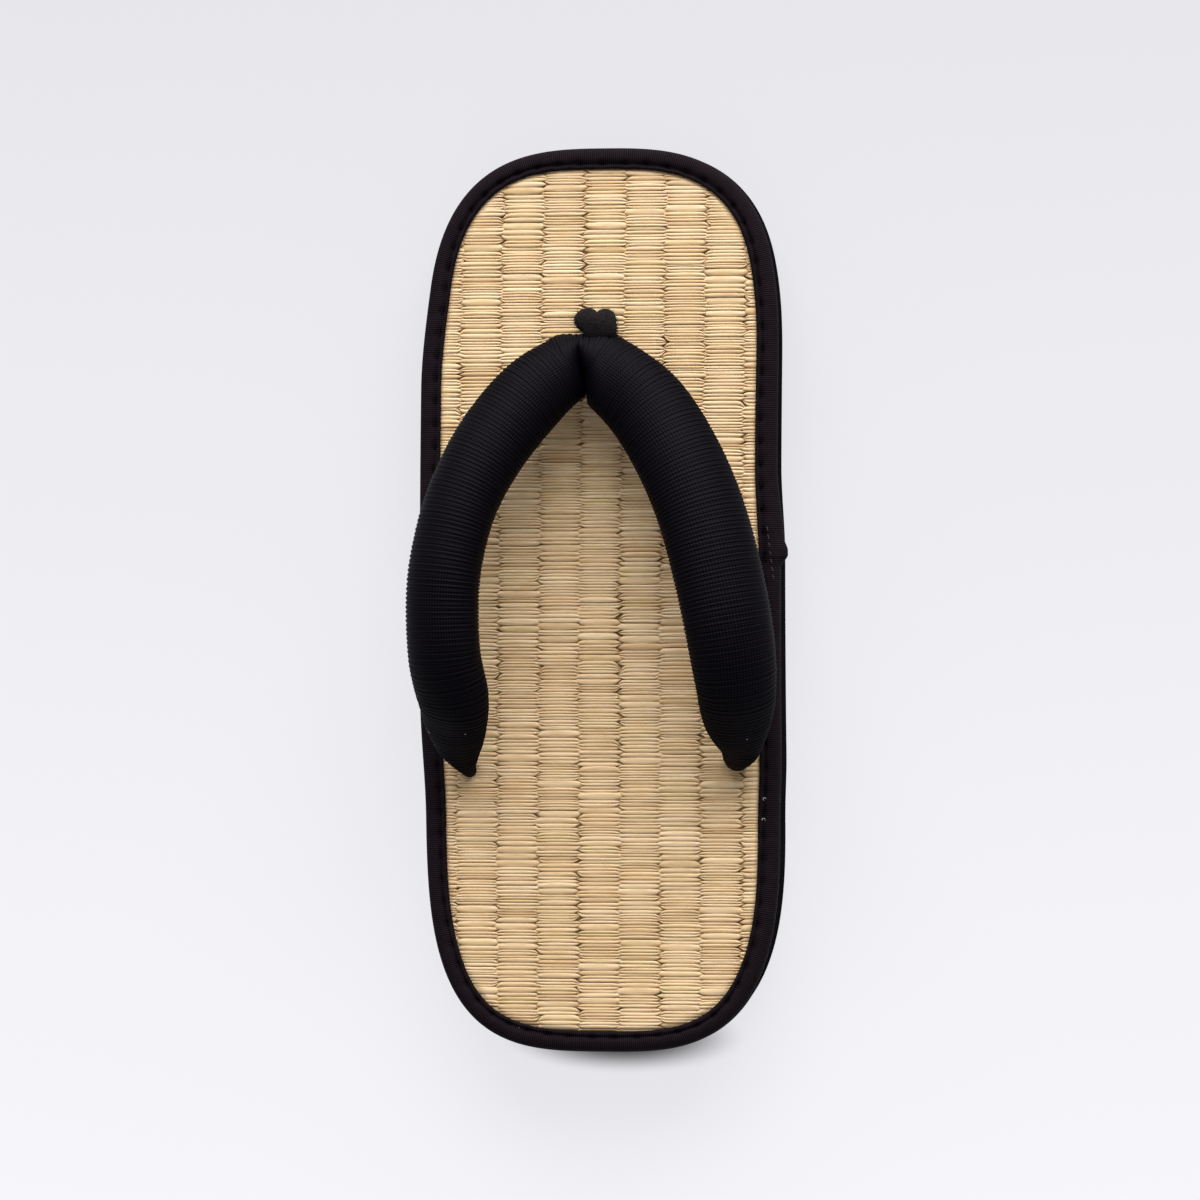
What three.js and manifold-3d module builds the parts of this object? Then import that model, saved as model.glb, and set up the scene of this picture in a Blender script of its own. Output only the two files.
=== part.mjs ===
// A flat straw-soled sandal with a padded thong strap: rush mat footbed, taped edge, foam sole.
// Millimetres, +Z up, toe towards +Y. The origin is the middle of the sole's flat underside.
import * as THREE from "three";
import { mergeVertices } from "three/addons/utils/BufferGeometryUtils.js";
import Module from "manifold-3d";

const wasm = await Module();
wasm.setup();

// Plan outline of the sandal, seen square on to the footbed
const LENGTH = 265;
const HALF_WIDTH = 52.2;
const TOE_ROUND = { reach: 65, power: 2.85 };
const HEEL_ROUND = { reach: 75, power: 2.9 };
const BOW = 1.8;
const ARC_STEPS = 24;
const SIDE_STEPS = 5;

// Heights of the footbed above the floor at the two ends
const TOE_HEIGHT = 15.5;
const HEEL_HEIGHT = 26.5;
const GAP = 0.3;

// Thicknesses and insets of what lies under the footbed surface
const RELIEF = 0.9;
const MAT_BOTTOM = -2.4;
const BOARD_THICK = 3;
const TAPE_THICK = 1.3;
const TAPE_WIDE = 6.2;
const TAPE_UNDER = 4.5;
const TAPE_LIP_BOTTOM = -0.95;
const TAPE_FOOT = 0.8;

// Overlap of the two tape ends on the +X side
const JOINT_FRONT = 18.5;
const JOINT_BACK = 9.5;
const JOINT_STEP = 1.1;
const JOINT_EDGE = 0.6;

// Foam sole
const SOLE_OUTSET = 0.2;
const SOLE_TOP_ROUND = 1.0;
const SOLE_BOTTOM_ROUND = 1.3;

// Rush weave: columns run lengthwise, each strip stands for two courses of rush
const COLUMN_PITCH = 11.95;
const COLUMN_MIDDLE = -0.3;
const COLUMNS = 9;
const STRIP_PITCH = 5.3;
const STRIP_ROWS = 49;
const RIDGE_HALF = 3.9;
const ZIGZAG = 0.9;

// Strap holes and tails
const TOE_HOLE = { x: -0.9, y: 80.3, radius: 3.6 };
const TAIL_HOLE_RADIUS = 2.8;
const HOLE_DEPTH = 30;
const HOLE_SIDES = 16;

// Strap sections from the fold at the toe to the tail, in footbed coordinates:
// middle of the section, its width and thickness, and how far its outer edge leans down
const ARM_COLUMNS = ["x", "y", "z", "wide", "thick", "lean"];
const LEFT_ARM = [
  [-8.0, 68.2, 10.6, 18.0, 17.0, 0],
  [-18.4, 59.4, 15.0, 21.0, 17.6, 6],
  [-29.0, 45.8, 20.4, 21.6, 18.0, 14],
  [-36.2, 31.0, 24.8, 21.6, 18.0, 20],
  [-40.0, 17.2, 27.8, 21.6, 18.0, 22],
  [-41.6, 2.6, 29.3, 21.8, 18.0, 22],
  [-41.1, -15.2, 28.0, 21.6, 17.6, 20],
  [-39.4, -27.8, 22.8, 21.2, 15.6, 14],
  [-38.9, -36.4, 15.6, 18.0, 11.4, 8],
  [-38.7, -43.4, 8.2, 11.6, 7.4, 4],
  [-38.3, -49.2, 1.4, 4.6, 4.2, 0],
  [-38.1, -51.0, -5.0, 4.0, 3.4, 0],
];
const RIGHT_ARM = [
  [1.2, 67.9, 10.6, 18.4, 17.0, 0],
  [14.4, 57.0, 15.2, 24.2, 17.6, 6],
  [24.0, 43.2, 20.4, 25.6, 18.0, 14],
  [31.5, 26.4, 24.8, 25.6, 18.0, 20],
  [37.0, 7.6, 28.0, 26.0, 18.0, 22],
  [40.5, -9.6, 28.6, 25.6, 18.0, 22],
  [42.0, -24.0, 24.6, 23.4, 16.4, 18],
  [41.9, -34.2, 17.6, 20.0, 12.6, 10],
  [41.2, -42.2, 9.8, 12.8, 8.2, 4],
  [39.9, -47.8, 2.2, 5.8, 4.6, 0],
  [39.6, -49.8, -5.0, 4.6, 3.6, 0],
];
const ARM_RINGS = 26;
const ARM_SIDES = 16;
const ARM_END_TURNS = [79, 53, 26];
const TANGENT_STEP = 0.01;

// Felt toe loop, a two-lobed band rising from the toe hole and over the front of the fold
const LOOP_COLUMNS = ["y", "z", "wide", "thick"];
const LOOP = [
  [80.2, -5.2, 6.0, 5.0],
  [80.6, -1.0, 7.4, 5.6],
  [81.4, 3.6, 11.4, 6.8],
  [81.2, 8.4, 12.0, 6.8],
  [79.0, 13.0, 10.8, 5.6],
  [75.0, 16.6, 9.0, 3.8],
  [70.4, 18.6, 6.4, 2.0],
];
const LOOP_RINGS = 14;
const LOOP_SIDES = 16;
const LOOP_WAIST = { depth: 0.22, sharpness: 8 };

const SLOPE = Math.asin((HEEL_HEIGHT - TOE_HEIGHT) / LENGTH);
const BOARD_TOP = MAT_BOTTOM - GAP;
const BOARD_BOTTOM = BOARD_TOP - BOARD_THICK;
const TAPE_UNDER_TOP = BOARD_BOTTOM - GAP;
const TAPE_BOTTOM = TAPE_UNDER_TOP - TAPE_FOOT;
const MAT_RIM_TOP = TAPE_LIP_BOTTOM - GAP;
const LAYER_INSET = TAPE_THICK + GAP;

// The footbed's own frame: flat, with its surface at zero, sloping down to the toe
const footbed = new THREE.Group();
footbed.position.z = (TOE_HEIGHT + HEEL_HEIGHT) / 2;
footbed.rotation.x = -SLOPE;
footbed.updateMatrix();

function roundEnd(angle, reach, power) {
  const across = Math.cos(angle);
  const along = Math.sin(angle);
  return [
    Math.sign(across) * HALF_WIDTH * Math.abs(across) ** (2 / power),
    reach * Math.abs(along) ** (2 / power),
  ];
}

// Closed outline, anticlockwise from the +X side, moved inwards by `inset`.
// `extra` adds points on the straight +X side at given places along it.
function outline(inset = 0, extra = []) {
  const toeStart = LENGTH / 2 - TOE_ROUND.reach;
  const heelStart = -LENGTH / 2 + HEEL_ROUND.reach;
  const raw = [];
  for (let i = 0; i <= ARC_STEPS; i++) {
    const [x, y] = roundEnd((Math.PI * i) / ARC_STEPS, TOE_ROUND.reach, TOE_ROUND.power);
    raw.push([x, toeStart + y]);
  }
  for (let i = 1; i < SIDE_STEPS; i++) {
    raw.push([-HALF_WIDTH, toeStart + ((heelStart - toeStart) * i) / SIDE_STEPS]);
  }
  for (let i = 0; i <= ARC_STEPS; i++) {
    const angle = Math.PI - (Math.PI * i) / ARC_STEPS;
    const [x, y] = roundEnd(angle, HEEL_ROUND.reach, HEEL_ROUND.power);
    raw.push([x, heelStart - y]);
  }
  const right = [...extra];
  for (let i = 1; i < SIDE_STEPS; i++) {
    right.push(heelStart + ((toeStart - heelStart) * i) / SIDE_STEPS);
  }
  right.sort((a, b) => a - b);
  for (const y of right) raw.push([HALF_WIDTH, y]);
  const bowed = raw.map(([x, y]) => new THREE.Vector2(x + BOW * ((2 * y) / LENGTH) ** 2, y));
  return bowed.map((point, i) => {
    const before = bowed[(i + bowed.length - 1) % bowed.length];
    const after = bowed[(i + 1) % bowed.length];
    const inwards = new THREE.Vector2(before.y - after.y, after.x - before.x).normalize();
    return point.clone().addScaledVector(inwards, inset);
  });
}

function meshFrom(positions, faces) {
  const geometry = new THREE.BufferGeometry();
  geometry.setAttribute("position", new THREE.Float32BufferAttribute(positions, 3));
  geometry.setIndex(faces);
  return geometry;
}

// Skins a list of rings of equal length. Ends are closed by a fan unless `closed` joins them.
function skinRings(rings, closed = false) {
  const count = rings[0].length;
  const positions = rings.flat().flatMap((p) => [p.x, p.y, p.z]);
  const faces = [];
  const bands = closed ? rings.length : rings.length - 1;
  for (let r = 0; r < bands; r++) {
    const low = r * count;
    const high = ((r + 1) % rings.length) * count;
    for (let i = 0; i < count; i++) {
      const j = (i + 1) % count;
      faces.push(low + i, low + j, high + j, low + i, high + j, high + i);
    }
  }
  if (!closed) {
    const addFan = (ring, start, flip) => {
      const middle = ring.reduce((sum, p) => sum.add(p), new THREE.Vector3());
      middle.divideScalar(count);
      const tip = positions.length / 3;
      positions.push(middle.x, middle.y, middle.z);
      for (let i = 0; i < count; i++) {
        const j = (i + 1) % count;
        faces.push(tip, start + (flip ? j : i), start + (flip ? i : j));
      }
    };
    addFan(rings[0], 0, true);
    addFan(rings.at(-1), (rings.length - 1) * count, false);
  }
  return meshFrom(positions, faces);
}

function toSolid(geometry) {
  const bare = geometry.clone();
  bare.deleteAttribute("normal");
  bare.deleteAttribute("uv");
  const merged = mergeVertices(bare, 1e-4);
  return new wasm.Manifold(
    new wasm.Mesh({
      numProp: 3,
      vertProperties: new Float32Array(merged.attributes.position.array),
      triVerts: new Uint32Array(merged.index.array),
    }),
  );
}

function fromSolid(solid) {
  const mesh = solid.getMesh();
  return meshFrom(Array.from(mesh.vertProperties), Array.from(mesh.triVerts));
}

// Flat plate of the outline between two heights of the footbed frame
function plate(inset, bottom, top) {
  const shape = new THREE.Shape(outline(inset));
  const geometry = new THREE.ExtrudeGeometry(shape, { depth: top - bottom, bevelEnabled: false });
  geometry.translate(0, 0, bottom);
  return geometry;
}

function holePin(x, y, radius) {
  const pin = new THREE.CylinderGeometry(radius, radius, HOLE_DEPTH, HOLE_SIDES);
  pin.rotateX(Math.PI / 2);
  pin.translate(x, y, 0);
  return toSolid(pin);
}

// The three holes, each wide enough for the tail or loop that passes through it
function strapHoles() {
  const left = LEFT_ARM.at(-1);
  const right = RIGHT_ARM.at(-1);
  return holePin(TOE_HOLE.x, TOE_HOLE.y, TOE_HOLE.radius)
    .add(holePin(left[0], left[1], TAIL_HOLE_RADIUS))
    .add(holePin(right[0], right[1], TAIL_HOLE_RADIUS))
    .add(strapSolid(GAP))
    .add(loopSolid(GAP));
}

// Foam sole: flat underneath, its top sloping with the footbed and rebated for the tape
function outsole() {
  const onSlope = (inset, z) =>
    outline(inset).map((p) => new THREE.Vector3(p.x, p.y, z).applyMatrix4(footbed.matrix));
  const onFloor = (inset, z) =>
    onSlope(inset, TAPE_BOTTOM).map((p) => new THREE.Vector3(p.x, p.y, z));
  const shelf = TAPE_BOTTOM - GAP;
  const seat = TAPE_UNDER + GAP;
  return skinRings([
    onFloor(SOLE_BOTTOM_ROUND - SOLE_OUTSET, 0),
    onFloor(-SOLE_OUTSET, SOLE_BOTTOM_ROUND),
    onSlope(-SOLE_OUTSET, shelf - SOLE_TOP_ROUND),
    onSlope(SOLE_TOP_ROUND - SOLE_OUTSET, shelf),
    onSlope(seat, shelf),
    onSlope(seat, BOARD_BOTTOM - GAP),
  ]);
}

function insoleBoard() {
  return fromSolid(toSolid(plate(LAYER_INSET, BOARD_BOTTOM, BOARD_TOP)).subtract(strapHoles()));
}

// Woven face: every strip is a long hexagon with a raised ridge, and neighbouring columns are
// half a strip out of step, so that their pointed ends interlock
function wovenBlock(bottom) {
  const half = STRIP_PITCH / 2;
  const levels = 2 * STRIP_ROWS + 2;
  const start = (-levels * half) / 2;
  const valley = -RELIEF;
  const positions = [];
  const faces = [];
  const add = (x, y, z) => positions.push(x, y, z) / 3 - 1;
  const seams = [];
  for (let c = 0; c <= COLUMNS; c++) {
    const x = COLUMN_MIDDLE + (c - COLUMNS / 2) * COLUMN_PITCH;
    const seam = [];
    for (let j = 0; j < levels; j++) {
      const side = (c + j) % 2 ? ZIGZAG : -ZIGZAG;
      seam.push(add(x + side, start + j * half, valley));
    }
    seams.push(seam);
  }
  for (let c = 0; c < COLUMNS; c++) {
    const middle = COLUMN_MIDDLE + (c + 0.5 - COLUMNS / 2) * COLUMN_PITCH;
    for (let r = 0; r < STRIP_ROWS; r++) {
      const j = 2 * r + ((c + 1) % 2);
      const y = start + (j + 1) * half;
      const ridgeLeft = add(middle - RIDGE_HALF, y, 0);
      const ridgeRight = add(middle + RIDGE_HALF, y, 0);
      const [l0, l1, l2] = seams[c].slice(j, j + 3);
      const [r0, r1, r2] = seams[c + 1].slice(j, j + 3);
      faces.push(l0, r0, ridgeRight, l0, ridgeRight, ridgeLeft);
      faces.push(r0, r1, ridgeRight, r1, r2, ridgeRight);
      faces.push(r2, l2, ridgeLeft, r2, ridgeLeft, ridgeRight);
      faces.push(l2, l1, ridgeLeft, l1, l0, ridgeLeft);
    }
  }
  const count = positions.length / 3;
  const open = new Map();
  for (let f = 0; f < faces.length; f += 3) {
    for (let k = 0; k < 3; k++) {
      const a = faces[f + k];
      const b = faces[f + ((k + 1) % 3)];
      if (!open.delete(`${b},${a}`)) open.set(`${a},${b}`, [a, b]);
    }
  }
  const top = [...faces];
  for (let i = 0; i < count; i++) add(positions[3 * i], positions[3 * i + 1], bottom);
  for (let f = 0; f < top.length; f += 3) {
    faces.push(top[f] + count, top[f + 2] + count, top[f + 1] + count);
  }
  for (const [a, b] of open.values()) {
    faces.push(b, a, a + count, b, a + count, b + count);
  }
  return meshFrom(positions, faces);
}

function rushMat() {
  const face = TAPE_WIDE + GAP;
  const reach = 2 * RELIEF;
  const field = toSolid(wovenBlock(MAT_RIM_TOP - RELIEF));
  const kept = field.intersect(toSolid(plate(face, MAT_RIM_TOP - reach, reach)));
  const rim = toSolid(plate(LAYER_INSET, MAT_BOTTOM, MAT_RIM_TOP));
  return fromSolid(rim.add(kept).subtract(strapHoles()));
}

// Tape section round the edge: how far in from the outline and how high, from the inner lip
// over the outside and under the board. `fold` says how much of the joint's step each point takes.
const TAPE_SECTION = [
  { inset: TAPE_WIDE, z: 0.1, fold: 0.2 },
  { inset: 5.4, z: 0.6, fold: 0.3 },
  { inset: 4.75, z: 0.1, fold: 0.3 },
  { inset: 3.6, z: 0.75, fold: 0.5 },
  { inset: 1.9, z: 0.75, fold: 0.7 },
  { inset: 0.5, z: -0.4, fold: 1 },
  { inset: 0, z: -2.2, fold: 1 },
  { inset: 0.1, z: -5.2, fold: 1 },
  { inset: 1.1, z: TAPE_BOTTOM, fold: 0.4 },
  { inset: TAPE_UNDER, z: TAPE_BOTTOM, fold: 0 },
  { inset: TAPE_UNDER, z: TAPE_UNDER_TOP, fold: 0 },
  { inset: TAPE_THICK, z: TAPE_UNDER_TOP, fold: 0 },
  { inset: TAPE_THICK, z: TAPE_LIP_BOTTOM, fold: 0 },
  { inset: TAPE_WIDE, z: TAPE_LIP_BOTTOM, fold: 0 },
];

// Height of the overlap step at a place on the outline: sharp at its back end, fading forwards
function jointStep(point) {
  if (point.x < 0 || point.y <= JOINT_BACK || point.y >= JOINT_FRONT) return 0;
  return (JOINT_STEP * (JOINT_FRONT - point.y)) / (JOINT_FRONT - JOINT_BACK);
}

function edgeBinding() {
  const extra = [JOINT_BACK, JOINT_BACK + JOINT_EDGE, JOINT_FRONT];
  const base = outline(0, extra);
  const rings = TAPE_SECTION.map(({ inset, z, fold }) =>
    outline(inset, extra).map((p, i) => {
      const step = jointStep(base[i]) * fold;
      const lift = z > TAPE_LIP_BOTTOM ? step / 3 : 0;
      return new THREE.Vector3(p.x + step, p.y, z + lift);
    }),
  );
  return skinRings(rings.reverse(), true);
}

function readTable(columns, rows) {
  return rows.map((row) => Object.fromEntries(columns.map((name, i) => [name, row[i]])));
}

// Smooth values between table rows, at `at` from 0 to 1
function alongTable(rows, name, at) {
  const place = at * (rows.length - 1);
  const i = Math.min(Math.floor(place), rows.length - 2);
  const value = (k) => rows[THREE.MathUtils.clamp(k, 0, rows.length - 1)][name];
  const t = place - i;
  const [p0, p1, p2, p3] = [value(i - 1), value(i), value(i + 1), value(i + 2)];
  const slope1 = (p2 - p0) / 2;
  const slope2 = (p3 - p1) / 2;
  const h = t * t * (3 - 2 * t);
  return p1 + (p2 - p1) * h + slope1 * t * (1 - t) ** 2 - slope2 * t * t * (1 - t);
}

// Ring of an oval section about `middle`, square to `heading`
function ovalRing(middle, heading, halfWide, halfThick, lean) {
  const across = new THREE.Vector3(heading.y, -heading.x, 0).normalize();
  const upward = new THREE.Vector3().crossVectors(across, heading).normalize();
  const ring = [];
  for (let i = 0; i < ARM_SIDES; i++) {
    const angle = (2 * Math.PI * i) / ARM_SIDES;
    const side = halfWide * Math.cos(angle);
    const rise = halfThick * Math.sin(angle);
    const a = side * Math.cos(lean) + rise * Math.sin(lean);
    const b = rise * Math.cos(lean) - side * Math.sin(lean);
    ring.push(middle.clone().addScaledVector(across, a).addScaledVector(upward, b));
  }
  return ring;
}

// One arm of the strap, rounded off where it is folded against the other arm
function strapArm(table, outerSide, grow) {
  const rows = readTable(ARM_COLUMNS, table);
  const at = (t) =>
    new THREE.Vector3(...["x", "y", "z"].map((name) => alongTable(rows, name, t)));
  // `turn` carries the section round the closed end, and is zero along the tube itself
  const ringAt = (t, turn) => {
    const ahead = at(Math.min(t + TANGENT_STEP, 1));
    const heading = ahead.sub(at(Math.max(t - TANGENT_STEP, 0))).normalize();
    const halfWide = alongTable(rows, "wide", t) / 2 + grow;
    const halfThick = alongTable(rows, "thick", t) / 2 + grow;
    const lean = THREE.MathUtils.degToRad(alongTable(rows, "lean", t)) * outerSide;
    const middle = at(t).addScaledVector(heading, -halfWide * Math.sin(turn));
    const shrink = Math.cos(turn);
    return ovalRing(middle, heading, halfWide * shrink, halfThick * shrink, lean);
  };
  const rings = ARM_END_TURNS.map((degrees) => ringAt(0, THREE.MathUtils.degToRad(degrees)));
  for (let i = 0; i <= ARM_RINGS; i++) rings.push(ringAt(i / ARM_RINGS, 0));
  return toSolid(skinRings(rings.reverse()));
}

function strapSolid(grow = 0) {
  return strapArm(LEFT_ARM, 1, grow).add(strapArm(RIGHT_ARM, -1, grow));
}

// Felt loop: each ring is an oval with a waist, which leaves two lobes side by side
function loopSolid(grow) {
  const rows = readTable(LOOP_COLUMNS, LOOP);
  const at = (t) => [alongTable(rows, "y", t), alongTable(rows, "z", t)];
  const rings = [];
  for (let i = 0; i <= LOOP_RINGS; i++) {
    const t = i / LOOP_RINGS;
    const [y, z] = at(t);
    const [y0, z0] = at(Math.max(t - TANGENT_STEP, 0));
    const [y1, z1] = at(Math.min(t + TANGENT_STEP, 1));
    const heading = new THREE.Vector2(y1 - y0, z1 - z0).normalize();
    const halfWide = alongTable(rows, "wide", t) / 2 + grow;
    const halfThick = alongTable(rows, "thick", t) / 2 + grow;
    const ring = [];
    for (let k = 0; k < LOOP_SIDES; k++) {
      const angle = (2 * Math.PI * k) / LOOP_SIDES;
      const waist = 1 - LOOP_WAIST.depth * Math.sin(angle) ** LOOP_WAIST.sharpness;
      const out = halfThick * Math.sin(angle) * waist;
      ring.push(
        new THREE.Vector3(
          TOE_HOLE.x + halfWide * Math.cos(angle),
          y + out * heading.y,
          z - out * heading.x,
        ),
      );
    }
    rings.push(ring);
  }
  return toSolid(skinRings(rings));
}

function toeLoop() {
  return fromSolid(loopSolid(0).subtract(strapSolid(GAP)));
}

const FOAM = { color: 0x161417, roughness: 0.85, metalness: 0 };
const BOARD = { color: 0x8a7654, roughness: 0.9, metalness: 0 };
const RUSH = { color: 0xc9b07e, roughness: 0.6, metalness: 0 };
const TAPE = { color: 0x1f1a20, roughness: 0.6, metalness: 0 };
const CLOTH = { color: 0x0d0d10, roughness: 0.85, metalness: 0 };
const FELT = { color: 0x100f11, roughness: 0.95, metalness: 0 };

function piece(name, geometry, finish) {
  const mesh = new THREE.Mesh(geometry, new THREE.MeshStandardMaterial(finish));
  mesh.name = name;
  return mesh;
}

footbed.add(
  piece("insole_board", insoleBoard(), BOARD),
  piece("rush_mat", rushMat(), RUSH),
  piece("edge_binding", edgeBinding(), TAPE),
  piece("strap", fromSolid(strapSolid()), CLOTH),
  piece("toe_loop", toeLoop(), FELT),
);

const sandal = new THREE.Group();
sandal.add(piece("outsole", outsole(), FOAM), footbed);

export default sandal;
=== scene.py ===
import math
import random

import bmesh
import bpy
import numpy as np
from mathutils import Matrix, Vector


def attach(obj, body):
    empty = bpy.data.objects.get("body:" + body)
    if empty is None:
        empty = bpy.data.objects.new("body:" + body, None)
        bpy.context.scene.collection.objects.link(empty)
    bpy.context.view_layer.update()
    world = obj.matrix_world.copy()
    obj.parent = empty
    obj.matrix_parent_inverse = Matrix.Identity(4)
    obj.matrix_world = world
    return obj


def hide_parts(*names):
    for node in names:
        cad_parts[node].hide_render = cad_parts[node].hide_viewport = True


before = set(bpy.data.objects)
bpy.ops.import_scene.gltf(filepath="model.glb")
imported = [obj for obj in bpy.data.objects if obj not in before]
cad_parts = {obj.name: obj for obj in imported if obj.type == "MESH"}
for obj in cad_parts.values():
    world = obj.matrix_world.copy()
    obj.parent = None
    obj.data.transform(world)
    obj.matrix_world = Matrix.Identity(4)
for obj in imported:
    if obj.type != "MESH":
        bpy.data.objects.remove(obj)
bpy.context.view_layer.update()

# The footbed is a flat plane that slopes down to the toe on a wedge sole, and nearly every
# size below is read on it: millimetres across, along towards the toe, and up from the mat.
# The camera looks down on it from high over the middle, a little from the right.
MM = 0.001
LENGTH = 265.0
TOE_HEIGHT = 15.5
HEEL_HEIGHT = 26.5
MID_HEIGHT = (TOE_HEIGHT + HEEL_HEIGHT) / 2
SLOPE = math.asin((HEEL_HEIGHT - TOE_HEIGHT) / LENGTH)

CAMERA_PLACE = (162.0, 0.0, 1491.0)
SENSOR = 36.0
FRAMED_WIDTH = 351.4


def on_footbed(points):
    """World metres of points given in footbed millimetres."""
    x, y, z = np.moveaxis(np.asarray(points, float), -1, 0)
    along = y * math.cos(SLOPE) + z * math.sin(SLOPE)
    up = MID_HEIGHT + z * math.cos(SLOPE) - y * math.sin(SLOPE)
    return np.stack((x, along, up), -1) * MM


def look_from(place, target, up):
    """Matrix of a camera or lamp at one point that faces another."""
    back = (place - target).normalized()
    right = up.cross(back).normalized()
    turn = Matrix((right, back.cross(right), back)).transposed()
    return Matrix.Translation(place) @ turn.to_4x4()


def footbed_vector(point):
    return Vector(on_footbed(point))


scene = bpy.context.scene
camera = bpy.data.objects.new("camera", bpy.data.cameras.new("camera"))
scene.collection.objects.link(camera)
shoe_middle = footbed_vector((0, 0, 0))
camera_point = footbed_vector(CAMERA_PLACE)
toe_way = footbed_vector((0, 1, 0)) - shoe_middle
camera.matrix_world = look_from(camera_point, shoe_middle, toe_way)
camera.data.sensor_width = SENSOR
camera.data.lens = SENSOR * (camera_point - shoe_middle).length / (FRAMED_WIDTH * MM)
camera.data.clip_end = 50.0
scene.camera = camera

# A pale floor that glows as painted light, dimmer towards the toe, with a painted contact shade under the
# heel. Shoe and floor are lit by one wide soft box low over the toe and by an even white room, so that
# the strap throws a long soft shade on the mat, and the floor's glow keeps it pale and its cast shadows
# faint.
FLOOR_SIZE = 12.0
FLOOR_COLOUR = (0.14, 0.137, 0.143, 1.0)
# strength of the floor's glow, painted light that fills the shadows on it
FLOOR_GLOW = 0.825
GLOW_FADE = 0.27
FADE_ENDS = (-0.25, 0.25)
# painted contact shade under the heel, drawn into the floor's glow and not cast by the lamp, in metres on
# the floor
HEEL_SHADE_MIDDLE = np.array((0.004, -0.131))
HEEL_SHADE_REACH = np.array((0.038, 0.0115))
HEEL_SHADE_DEPTH = 0.92
HEEL_SHADE_CORE = 0.35
ROOM_COLOUR = (0.96, 0.96, 1.0, 1.0)
ROOM_STRENGTH = 0.45
SOFT_BOX_PLACE = (200.0, 3000.0, 1220.0)
SOFT_BOX_SIZE = 4.2
SOFT_BOX_WATTS = 345.0
SOFT_BOX_COLOUR = (1.0, 0.985, 0.965)


def feed(tree, node, inputs):
    """Set a node's inputs to values, or link them from a socket or a node's first output."""
    for key, value in inputs.items():
        if isinstance(value, bpy.types.Node):
            value = value.outputs[0]
        if isinstance(value, bpy.types.NodeSocket):
            tree.links.new(value, node.inputs[key])
        else:
            node.inputs[key].default_value = value
    return node


def put(tree, kind, inputs=None, **settings):
    """A new shader node with its settings and inputs."""
    node = tree.nodes.new("ShaderNode" + kind)
    for key, value in settings.items():
        setattr(node, key, value)
    return feed(tree, node, inputs or {})


def blend(tree, share, first, second, how="MIX"):
    """Two colours mixed, or multiplied, by a share of the second."""
    inputs = {"Factor": share, "A": first, "B": second}
    return put(tree, "Mix", inputs, data_type="RGBA", blend_type=how).outputs["Result"]


def noise(tree, place, scale, detail, **more):
    return put(tree, "TexNoise", {"Vector": place, "Scale": scale, "Detail": detail, **more})


def bumps(tree, height, strength, distance):
    return put(tree, "Bump", {"Height": height, "Strength": strength, "Distance": distance})


def new_material(name):
    """An empty material's tree, place on the piece, shader and the material itself."""
    material = bpy.data.materials.new(name)
    material.use_nodes = True
    tree = material.node_tree
    tree.nodes.clear()
    shader = put(tree, "BsdfPrincipled")
    put(tree, "OutputMaterial", {"Surface": shader})
    return tree, put(tree, "TexCoord").outputs["Object"], shader, material


def smooth_piece(name, points, faces, material, sharp=None):
    """A piece from world points and faces. Edges above the sharp angle stay sharp."""
    mesh = bpy.data.meshes.new(name)
    mesh.from_pydata(np.asarray(points).tolist(), [], faces)
    mesh.polygons.foreach_set("use_smooth", np.ones(len(mesh.polygons), bool))
    if sharp is not None:
        mesh.set_sharp_from_angle(angle=math.radians(sharp))
    mesh.update()
    mesh.materials.append(material)
    piece = bpy.data.objects.new(name, mesh)
    scene.collection.objects.link(piece)
    return piece


def glowing_floor():
    tree, place, shader, material = new_material("glowing_floor")
    tooth = noise(tree, place, 900.0, 3.0)
    along = put(tree, "SeparateXYZ", {"Vector": place}).outputs["Y"]
    fade = put(tree, "MapRange", {"Value": along, "From Min": FADE_ENDS[0], "From Max": FADE_ENDS[1]})
    faded = [part * (1 - GLOW_FADE) for part in ROOM_COLOUR[:3]] + [1.0]
    glow = blend(tree, fade, ROOM_COLOUR, faded)
    # painted contact shade: the glow is darkened round a spot just behind the heel
    heel_map = {
        "Vector": place,
        "Scale": (*(1 / HEEL_SHADE_REACH), 0.0),
        "Location": (*(-HEEL_SHADE_MIDDLE / HEEL_SHADE_REACH), 0.0),
    }
    away = put(tree, "VectorMath", {0: put(tree, "Mapping", heel_map)}, operation="LENGTH")
    shade = {
        "Value": away.outputs["Value"],
        "From Min": HEEL_SHADE_CORE,
        "To Min": 1 - HEEL_SHADE_DEPTH,
    }
    painted_heel_shade = put(tree, "MapRange", shade, interpolation_type="SMOOTHSTEP")
    # the floor glows as painted light, dimmer towards the toe and darkened by the painted heel shade
    feed(tree, shader, {
        "Base Color": FLOOR_COLOUR,
        "Roughness": 0.75,
        "Specular IOR Level": 0.1,
        "Normal": bumps(tree, tooth, 0.05, 0.0002),
        "Emission Color": blend(tree, 1.0, glow, painted_heel_shade, "MULTIPLY"),
        "Emission Strength": FLOOR_GLOW,
    })
    return material


half_floor = FLOOR_SIZE / 2
floor_corners = [(half_floor * x, half_floor * y, 0) for x, y in ((-1, -1), (1, -1), (1, 1), (-1, 1))]
smooth_piece("floor", floor_corners, [(0, 1, 2, 3)], glowing_floor())

soft_box = bpy.data.lights.new("toe_soft_box", "AREA")
soft_box.shape = "DISK"
soft_box.size = SOFT_BOX_SIZE
soft_box.energy = SOFT_BOX_WATTS
soft_box.color = SOFT_BOX_COLOUR
lamp = bpy.data.objects.new("toe_soft_box", soft_box)
scene.collection.objects.link(lamp)
lamp.matrix_world = look_from(footbed_vector(SOFT_BOX_PLACE), shoe_middle, toe_way)

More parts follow.
